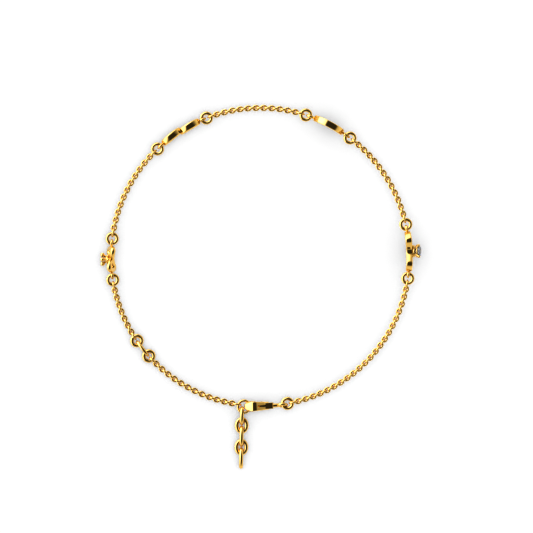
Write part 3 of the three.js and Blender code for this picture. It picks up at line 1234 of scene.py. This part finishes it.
@dataclass(frozen=True)
class InfinityCharm:
    """Figure-eight of thick round wire with a small diamond where it crosses."""

    station: Station
    loop: Loop
    eyelets: Eyelets
    head: ProngHead = ProngHead(
        stone=1.2, wire=0.46, bead=0.41, girdle=1.22, turn=0.0, hold=0.5
    )
    wire: float = 1.03
    half_length: float = 2.08
    half_height: float = 1.22
    part: float = 0.84
    gather: float = 0.8
    face: float = 0.5
    fine: Fineness = Fineness(160, 22)

    def build(self, gold: bpy.types.Material, diamond: bpy.types.Material) -> None:
        """Make the charm and its stone.

        Args:
            gold: The charm's finish.
            diamond: The stone's finish.
        """
        steps = self.fine.steps
        path = [self.point(2 * math.pi * i / steps) for i in range(steps)]
        charm = Form().wire(path, [self.wire / 2] * steps, self.fine.sides, closed=True)
        charm.add(self.head.form(), facing_out(self.face))
        charm.add(self.eyelets.form(self.station, self.half_length + self.wire / 2))
        frame_here = self.station.frame(self.loop)
        enter(charm.place(frame_here).build("infinity_wire", gold), "infinity_charm")
        place = frame_here @ facing_out(self.face + self.head.girdle)
        stone = Brilliant(self.head.stone).build("infinity_brilliant", place, diamond)
        enter(stone, "infinity_diamond")

    def point(self, turn: float) -> Vector:
        """Find a point of the wire's middle line.

        Args:
            turn: How far along the figure-eight, in radians.

        Returns:
            The point, in the charm's frame.
        """
        x = self.half_length * math.cos(turn)
        bow = x * x / (2 * self.loop.radius)
        aside = self.part * math.sin(turn) * (1 - self.gather * math.sin(turn) ** 2)
        return Vector((x, bow - aside, self.half_height * math.sin(2 * turn)))


# Clasp and extender


@dataclass(frozen=True)
class Belt:
    """Outline of a belt drawn tight round circles, each given as x, y and radius."""

    circles: tuple[tuple[float, float, float], ...]
    steps: int = 200

    def outline(self) -> list[Vector]:
        """Find the outline's corners.

        Returns:
            The corners, counterclockwise, one for each way that the outline faces.
        """
        corners = []
        for i in range(self.steps):
            turn = 2 * math.pi * i / self.steps
            out = Vector((math.cos(turn), math.sin(turn)))
            reaches = [out.x * x + out.y * y + radius for x, y, radius in self.circles]
            x, y, radius = self.circles[reaches.index(max(reaches))]
            corners.append(Vector((x, y)) + radius * out)
        return corners


@dataclass(frozen=True)
class LobsterClasp:
    """Lobster clasp: hooked body with a tail eye, thumb lever and rivet.

    Its frame starts a shift inside the end ring's centre and runs towards a point a little
    outwards of the clasp's own ring, with +Z up.
    """

    loop: Loop
    shift: float = 0.15
    tail_outward: float = 0.28
    outer: Belt = Belt(
        (
            (0.52, 0.394, 0.6),
            (0.52, -0.394, 0.6),
            (1.77, 0.8, 1.05),
            (1.77, -0.8, 1.05),
            (4.25, 0.0, 0.42),
        )
    )
    hook: Belt = Belt(((1.75, 0.0, 1.14), (3.1, 0.0, 0.46)))
    thickness: float = 1.92
    bevel: float = 0.19
    plan: tuple[tuple[float, float], ...] = (
        (-0.2, 0.52),
        (0.45, 0.6),
        (0.6, 0.94),
        (1.4, 1.0),
        (2.4, 0.92),
        (3.7, 0.85),
        (4.6, 0.73),
        (5.6, 0.48),
    )
    tail_corners: tuple[tuple[float, float], ...] = (
        (3.95, -0.42),
        (5.2, -0.3),
        (5.2, 0.46),
        (3.95, 0.5),
    )
    tail_middle: tuple[float, float] = (4.5, 0.05)
    tail_rounding: float = 0.25
    tail_thickness: float = 1.22
    corner_steps: int = 10
    stem: tuple[tuple[float, float], ...] = (
        (0.0, 4.9),
        (0.41, 4.95),
        (0.43, 5.4),
        (0.38, 6.0),
        (0.36, 6.5),
        (0.0, 6.65),
    )
    stem_sides: int = 28
    clear: float = 3.0
    gate_bevel: float = 0.14
    gate_play: float = 0.02
    gate_back: float = 3.5
    arm_hub: float = 0.4
    arm_length: float = 1.2
    arm_end: float = 0.29
    arm_bevel: float = 0.1
    arm_steps: int = 24
    arm_drop: float = 0.55
    nub_radius: float = 0.4
    nub_bevel: float = 0.16
    nub_place: tuple[float, float] = (3.4, -1.2)
    nub_steps: int = 48
    gate_end: float = 3.1
    gate_top: float = -0.5
    gate_swing: float = 2.86
    slot_from: float = 2.5
    slot_to: float = 4.85
    slot_width: float = 0.8
    slot_top: float = 0.38
    slit_from: float = 2.5
    slit_to: float = 4.04
    slit_width: float = 0.32
    slit_floor: float = 0.64
    lever_thickness: float = 0.66
    lever_swing: float = 2.78
    pivot_x: float = 4.35
    pivot_z: float = -0.1
    pivot_hole: float = 0.27
    rivet_radius: float = 0.2
    rivet_length: float = 1.46
    rivet_dome: float = 0.07
    dome_shoulder: tuple[float, float] = (0.6, 0.7)
    pin_sides: int = 72
    eye_x: float = 7.17
    eye_radius: float = 0.8
    eye_wire: float = 0.58
    eye_lean: float = 15.0
    eye_fine: Fineness = Fineness(48, 18)

    def frame(self) -> Matrix:
        """Find the clasp's frame, between its two rings.

        Returns:
            The frame, in millimetres.
        """
        start = node_centre("clasp_ring_1")
        ring = node_centre("clasp_ring_2")
        outward = (ring - self.loop.centre).xy.normalized() * self.tail_outward
        along = ring.xy + outward - start.xy
        turn = math.atan2(along.y, along.x)
        place = Matrix.Translation(start) @ Matrix.Rotation(turn, 4, "Z")
        return place @ Matrix.Translation((self.shift, 0, 0))

    def build(self, gold: bpy.types.Material) -> None:
        """Make the body, the lever and the rivet.

        Args:
            gold: Their finish.
        """
        metres = Matrix.Scale(MM, 4) @ self.frame() @ Matrix.Scale(1 / MM, 4)
        for piece, node, body in (
            (self.body(gold), "clasp_body", ROOT),
            (self.lever(gold), "clasp_lever", "clasp_lever"),
            (self.rivet(gold), "clasp_rivet", ROOT),
        ):
            piece.data.transform(metres)
            enter(piece, node, body)

    def wall(self, thickness: float, bevel: float) -> Form:
        """The drop-shaped ring that the hook and the gate are cut from."""
        return open_plate(self.outer.outline(), self.hook.outline(), thickness, bevel)

    def tail(self) -> Form:
        """Make the block that carries the rivet.

        Returns:
            The block, with rounded corners and edges.
        """
        middle = Vector(self.tail_middle)
        outline = []
        for i, corner in enumerate(self.tail_corners):
            start = math.pi * (1 + i / 2)
            end = start + math.pi / 2
            centre = Vector(corner) - middle
            outline += arc_points(centre, self.tail_rounding, start, end, self.corner_steps)
        plate = solid_plate(outline, self.tail_thickness, self.bevel / 2)
        return plate.place(Matrix.Translation((middle.x, 0, middle.y)))

    def narrowed(self, form: Form) -> Form:
        """Narrow a form of the clasp's full thickness to the clasp's plan."""
        form.corners = [Vector((c.x, c.y * self.narrowing(c.x), c.z)) for c in form.corners]
        return form

    def narrowing(self, x: float) -> float:
        """Find how narrow the clasp is at a place along it, seen from above.

        Args:
            x: The place along the clasp.

        Returns:
            The share of its full thickness.
        """
        for (x0, share0), (x1, share1) in zip(self.plan, self.plan[1:]):
            if x <= x1:
                return share0 + (share1 - share0) * max(x - x0, 0.0) / (x1 - x0)
        return self.plan[-1][1]

    def pin(self, x: float, z: float, radius: float, length: float, dome: float = 0.0) -> Form:
        """Make a round pin across the clasp.

        Args:
            x: Its place along the clasp.
            z: Its height.
            radius: Its radius.
            length: Its length without the domes.
            dome: How far its ends bulge.

        Returns:
            The pin.
        """
        half = length / 2
        shoulder, rise = self.dome_shoulder
        profile = [
            (0.0, -half - dome),
            (shoulder * radius, -half - rise * dome),
            (radius, -half),
            (radius, half),
            (shoulder * radius, half + rise * dome),
            (0.0, half + dome),
        ]
        across = Matrix.Translation((x, 0, z)) @ Matrix.Rotation(math.pi / 2, 4, "X")
        return Form().lathe(profile, self.pin_sides).place(across)

    def pivot(self, radius: float, length: float, dome: float = 0.0) -> Form:
        """A round pin on the axis that the lever turns round."""
        return self.pin(self.pivot_x, self.pivot_z, radius, length, dome)

    def body(self, gold: bpy.types.Material) -> bpy.types.Object:
        """Make the hook, cheeks, stem and tail eye.

        Args:
            gold: Their finish.

        Returns:
            The body, in the clasp's frame.
        """
        clear = self.clear
        gate = block((0, -clear, -clear), (self.gate_end, clear, self.gate_top))
        gate_space = gate.build("gate_space", gold)
        carve(gate_space, self.pivot(self.gate_swing, clear), Carve.KEEP)
        half = self.slot_width / 2
        slit = self.slit_width / 2
        cuts = (
            form_of(gate_space),
            block((self.slot_from, -half, -clear), (self.slot_to, half, self.slot_top)),
            block((self.slit_from, -slit, self.slit_floor), (self.slit_to, slit, clear)),
            self.pivot(self.pivot_hole, clear),
        )
        hook = self.narrowed(self.wall(self.thickness, self.bevel)).build("clasp_hook", gold)
        for cut in cuts:
            carve(hook, cut, Carve.CUT)
        tail = self.tail().build("clasp_tail_block", gold)
        for cut in cuts[1:]:
            carve(tail, cut, Carve.CUT)
        stem = Form().lathe(self.stem, self.stem_sides)
        stem.place(Matrix.Rotation(math.pi / 2, 4, "Y"))
        eye = round_link(self.eye_radius, self.eye_wire, self.eye_fine)
        lean = Matrix.Rotation(math.pi / 2 - math.radians(self.eye_lean), 4, "X")
        eye.place(Matrix.Translation((self.eye_x, 0, 0)) @ lean)
        return join("clasp_body_cast", [hook, tail, stem.add(eye).build("clasp_stem", gold)])

    def lever(self, gold: bpy.types.Material) -> bpy.types.Object:
        """Make the gate, its arm and hub, and the thumb nub.

        Args:
            gold: Their finish.

        Returns:
            The lever, in the clasp's frame.
        """
        clear = self.clear
        gate = self.wall(self.lever_thickness, self.gate_bevel).build("clasp_gate", gold)
        gate_top = self.gate_top - self.gate_play
        carve(gate, block((0, -clear, -clear), (self.gate_back, clear, gate_top)), Carve.KEEP)
        carve(gate, self.pivot(self.lever_swing, clear), Carve.KEEP)
        quarter = math.pi / 2
        hub = Vector((0, 0))
        far_end = Vector((-self.arm_length, 0))
        arm_outline = arc_points(hub, self.arm_hub, -quarter, quarter, self.arm_steps)
        arm_outline += arc_points(far_end, self.arm_end, quarter, 3 * quarter, self.arm_steps)
        arm = solid_plate(arm_outline, self.lever_thickness, self.arm_bevel)
        drop = Matrix.Rotation(-self.arm_drop, 4, "Y")
        arm.place(Matrix.Translation((self.pivot_x, 0, self.pivot_z)) @ drop)
        nub_outline = arc_points(hub, self.nub_radius, 0, 2 * math.pi, self.nub_steps)[:-1]
        nub = solid_plate(nub_outline, self.lever_thickness, self.nub_bevel)
        nub_x, nub_z = self.nub_place
        arm.add(nub, Matrix.Translation((nub_x, 0, nub_z)))
        return join("clasp_lever_cast", [gate, arm.build("clasp_arm", gold)])

    def rivet(self, gold: bpy.types.Material) -> bpy.types.Object:
        """The rivet that the lever turns on, with domed heads."""
        rivet = self.pivot(self.rivet_radius, self.rivet_length, self.rivet_dome)
        return rivet.build("clasp_rivet_pin", gold, Shading.CRISP)


def form_of(piece: bpy.types.Object) -> Form:
    """Turn a scratch object back into a form, and remove the object.

    Args:
        piece: The scratch object.

    Returns:
        The form, in millimetres.
    """
    form = Form()
    form.corners = [vertex.co / MM for vertex in piece.data.vertices]
    form.faces = [tuple(face.vertices) for face in piece.data.polygons]
    mesh = piece.data
    bpy.data.objects.remove(piece)
    bpy.data.meshes.remove(mesh)
    return form


@dataclass(frozen=True)
class LongLinks:
    """The sizing link and the extender: larger ovals of round wire."""

    loop: Loop
    sizing_length: float = 3.86
    sizing_width: float = 2.5
    sizing_wire: float = 0.62
    wire: float = 0.78
    width: float = 2.66
    lengths: tuple[float, ...] = (3.7, 3.22, 4.14, 3.22, 4.14)
    heading: float = -91.0
    fine: Fineness = Fineness(56, 18)

    def build(self, sizing: Station, gold: bpy.types.Material) -> None:
        """Make the sizing link and the five extender links.

        Args:
            sizing: The sizing link's station.
            gold: The links' finish.
        """
        on_edge = Matrix.Rotation(math.pi / 2, 4, "X")
        link = oval_link(self.sizing_length, self.sizing_width, self.sizing_wire, self.fine)
        piece = link.place(sizing.frame(self.loop) @ on_edge).build("sizing_link_round", gold)
        enter(piece, "sizing_link")
        first = node_centre("extender_link_1")
        last = node_centre("extender_link_5")
        run = last - first
        drop = math.atan2(first.z - last.z, math.hypot(run.x, run.y))
        turn = Matrix.Rotation(math.radians(self.heading), 4, "Z") @ Matrix.Rotation(drop, 4, "Y")
        for i, length in enumerate(self.lengths):
            node = f"extender_link_{i + 1}"
            matrix = Matrix.Translation(node_centre(node)) @ turn
            if i % 2 == 0:
                matrix = matrix @ on_edge
            link = oval_link(length, self.width, self.wire, self.fine).place(matrix)
            enter(link.build(f"{node}_round", gold), node)


# Studio


@dataclass(frozen=True)
class Studio:
    """White table, soft lights and a camera straight above, as in a product picture."""

    loop: Loop
    frame_pixels: int = 533
    mm_per_pixel: float = 0.19048
    loop_pixel: tuple[float, float] = (259.98, 257.0)
    camera_height: float = 800.0
    camera_near: float = 10.0
    camera_far: float = 10000.0
    chain_height: float = 2.5
    sensor: float = 36.0
    shade_colour: str = "#E7E7E7"
    bright_colour: str = "#CFDCFF"
    bright_way: tuple[float, float, float] = (-0.906, 0.423, 0.0)
    bright_level: float = 3.2
    bright_edge: tuple[float, float] = (0.24, 0.42)
    glow_way: tuple[float, float, float] = (-0.81, 0.5, 0.31)
    glow_level: float = 1.6
    glow_edge: tuple[float, float] = (0.75, 0.95)
    shade_grades: tuple[tuple[float, float], ...] = (
        (0.0, 1.35),
        (0.3, 1.05),
        (0.6, 0.42),
        (1.0, 0.16),
    )
    card_middle: tuple[float, float, float] = (0.16, -0.11, 0.0)
    card_reach: tuple[float, float, float] = (0.4, 0.36, 1.0)
    card_turn: float = -15.0
    card_edge: tuple[float, float] = (0.75, 1.25)
    card_level: float = 0.085
    # A little over one, so that straight down isn't divided by zero
    card_pole: float = 1.001
    lamp_height: float = 700.0
    lamps: tuple[tuple[str, float, float], ...] = (
        ("top_lamp", 500.0, 2.9),
        ("wide_lamp", 3000.0, 0.63),
    )
    table_half: float = 1500.0
    table_drop: float = 0.01
    print_gamma: float = 0.72

    def build(self) -> None:
        """Make the table, the lights, the surroundings and the camera."""
        self.table()
        self.light()
        self.surroundings()
        self.camera()
        scene = bpy.context.scene
        scene.view_settings.view_transform = "Standard"
        scene.view_settings.gamma = self.print_gamma
        scene.cycles.caustics_reflective = False
        scene.cycles.caustics_refractive = False

    def table(self) -> None:
        """Lay the white sweep, a hair under the bracelet."""
        corners = ((-1, -1), (1, -1), (1, 1), (-1, 1))
        half = self.table_half
        sweep = Form()
        sweep.corners = [Vector((x * half, y * half, -self.table_drop)) for x, y in corners]
        sweep.faces = [(0, 1, 2, 3)]
        sweep.build("white_sweep", WhiteTable().material())

    def light(self) -> None:
        """Hang the round lamps that light the table; they are left out of the gold's reflections.

        The small one keeps the table white close to the gold, the wide one gives the soft shadows.
        """
        for name, size, brightness in self.lamps:
            data = bpy.data.lights.new(name, "AREA")
            data.shape = "DISK"
            data.size = size * MM
            data.energy = brightness * math.pi * math.pi * data.size**2 / 4
            lamp = bpy.data.objects.new(name, data)
            lamp.location = (self.loop.centre + Vector((0, 0, self.lamp_height))) * MM
            lamp.visible_glossy = False
            lamp.visible_camera = False
            bpy.context.scene.collection.objects.link(lamp)

    def surroundings(self) -> None:
        """Put up the tent of light: bright upper left, half-lit lower right, a dark card above."""
        world = bpy.data.worlds.new("light_tent")
        world.use_nodes = True
        tree = world.node_tree
        tree.nodes.clear()
        look = add_node(tree, "ShaderNodeTexCoord", {}, {}).outputs["Generated"]
        up = add_node(tree, "ShaderNodeSeparateXYZ", {}, {0: look}).outputs["Z"]
        shade = self.graded(tree, up)
        bright = self.leaning(tree, look, self.bright_way, self.bright_edge)
        tent = self.blend(tree, bright, shade, self.bright_level)
        glow = self.leaning(tree, look, self.glow_way, self.glow_edge)
        glowing = {0: glow, 1: self.glow_level, 2: tent}
        lit = add_node(tree, "ShaderNodeMath", {"operation": "MULTIPLY_ADD"}, glowing)
        card = self.overhead_card(tree, look, up)
        level = self.blend(tree, card, self.card_level, lit.outputs[0])
        colour = two_tone(tree, bright, self.shade_colour, self.bright_colour)
        back = add_node(tree, "ShaderNodeBackground", {}, {0: colour, 1: level})
        add_node(tree, "ShaderNodeOutputWorld", {}, {0: back.outputs[0]})
        world.cycles_visibility.diffuse = False
        bpy.context.scene.world = world

    def graded(self, tree: bpy.types.NodeTree, up: bpy.types.NodeSocket) -> bpy.types.NodeSocket:
        """Grade the half-lit side from the horizon to the top of the tent.

        Args:
            tree: The world's node tree.
            up: How far a direction points up.

        Returns:
            The half-lit side's level.
        """
        ramp = add_node(tree, "ShaderNodeValToRGB", {}, {0: up})
        stops = ramp.color_ramp.elements
        while len(stops) < len(self.shade_grades):
            stops.new(0.5)
        for stop, (place, level) in zip(stops, self.shade_grades):
            stop.position = place
            stop.color = (level, level, level, 1.0)
        return ramp.outputs["Color"]

    def leaning(
        self,
        tree: bpy.types.NodeTree,
        look: bpy.types.NodeSocket,
        way: tuple[float, float, float],
        edge: tuple[float, float],
    ) -> bpy.types.NodeSocket:
        """Give how far a direction leans one way, from none to full.

        Args:
            tree: The world's node tree.
            look: The direction.
            way: The way that it may lean.
            edge: Leans at which the share leaves none and reaches full.

        Returns:
            The share.
        """
        ways = {0: look, 1: Vector(way).normalized()}
        lean = add_node(tree, "ShaderNodeVectorMath", {"operation": "DOT_PRODUCT"}, ways)
        span = {0: lean.outputs["Value"], 1: edge[0], 2: edge[1]}
        share = add_node(tree, "ShaderNodeMapRange", {"interpolation_type": "SMOOTHSTEP"}, span)
        return share.outputs["Result"]

    def overhead_card(
        self, tree: bpy.types.NodeTree, look: bpy.types.NodeSocket, up: bpy.types.NodeSocket
    ) -> bpy.types.NodeSocket:
        """Draw the oval card round the camera.

        A direction is laid flat by its slope: gold that leans by a slope, seen from above,
        mirrors the point that lies so far from the middle.

        Args:
            tree: The world's node tree.
            look: The direction.
            up: How far it points up.

        Returns:
            The share of light that is left: zero on the card and one clear of it.
        """
        rise = add_node(tree, "ShaderNodeMath", {"operation": "ADD"}, {0: up, 1: self.card_pole})
        slope = {0: look, 1: rise.outputs[0]}
        flat = add_node(tree, "ShaderNodeVectorMath", {"operation": "DIVIDE"}, slope)
        turn = (0.0, 0.0, math.radians(self.card_turn))
        place = {0: flat.outputs[0], 1: self.card_middle, 2: turn, 3: self.card_reach}
        placed = add_node(tree, "ShaderNodeMapping", {"vector_type": "TEXTURE"}, place)
        across = {0: placed.outputs[0], 1: (1, 1, 0)}
        level = add_node(tree, "ShaderNodeVectorMath", {"operation": "MULTIPLY"}, across)
        inputs = {0: level.outputs[0]}
        reach = add_node(tree, "ShaderNodeVectorMath", {"operation": "LENGTH"}, inputs)
        span = {0: reach.outputs["Value"], 1: self.card_edge[0], 2: self.card_edge[1]}
        share = add_node(tree, "ShaderNodeMapRange", {"interpolation_type": "SMOOTHSTEP"}, span)
        return share.outputs["Result"]

    def blend(
        self,
        tree: bpy.types.NodeTree,
        share: bpy.types.NodeSocket,
        none: bpy.types.NodeSocket | float,
        full: bpy.types.NodeSocket | float,
    ) -> bpy.types.NodeSocket:
        """Mix two levels of light by a share."""
        inputs = {0: share, 2: none, 3: full}
        return add_node(tree, "ShaderNodeMix", {"data_type": "FLOAT"}, inputs).outputs[0]

    def camera(self) -> None:
        """Put the camera straight above the middle of the photo's frame."""
        data = bpy.data.cameras.new("top_camera")
        data.sensor_width = self.sensor
        reach = self.camera_height - self.chain_height
        data.lens = self.sensor * reach / (self.frame_pixels * self.mm_per_pixel)
        data.clip_start = self.camera_near * MM
        data.clip_end = self.camera_far * MM
        middle = self.frame_pixels / 2
        across = (middle - self.loop_pixel[0]) * self.mm_per_pixel
        up = (self.loop_pixel[1] - middle) * self.mm_per_pixel
        camera = bpy.data.objects.new("top_camera", data)
        camera.location = (self.loop.centre + Vector((across, up, self.camera_height))) * MM
        bpy.context.scene.collection.objects.link(camera)
        bpy.context.scene.camera = camera


def main() -> None:
    """Build every sub-assembly, light it and note the sizes."""
    logging.basicConfig(level=logging.INFO, format="%(name)s: %(message)s")
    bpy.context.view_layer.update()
    gold = PolishedGold().material()
    diamond = CutDiamond().material()
    for node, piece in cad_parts.items():
        piece.data.materials.clear()
        piece.data.materials.append(diamond if node.endswith("_diamond") else gold)
    loop = Loop()
    rings = JumpRings()
    chain = CableChain(loop, rings)
    for station, after in zip(STATIONS, STATIONS[1:] + STATIONS[:1]):
        rings.build(station, gold)
        chain.build(station, after, gold)
    eyelets = Eyelets(loop, rings)
    heart, disc, ovals, infinity, sizing, _ = STATIONS
    HeartCharm(heart, loop, eyelets).build(gold, diamond)
    DiscCharm(disc, loop, eyelets).build(gold)
    TwinOvalsCharm(ovals, loop, eyelets).build(gold)
    InfinityCharm(infinity, loop, eyelets).build(gold, diamond)
    LongLinks(loop).build(sizing, gold)
    LobsterClasp(loop).build(gold)
    Studio(loop).build()
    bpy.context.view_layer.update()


if __name__ == "__main__":
    main()
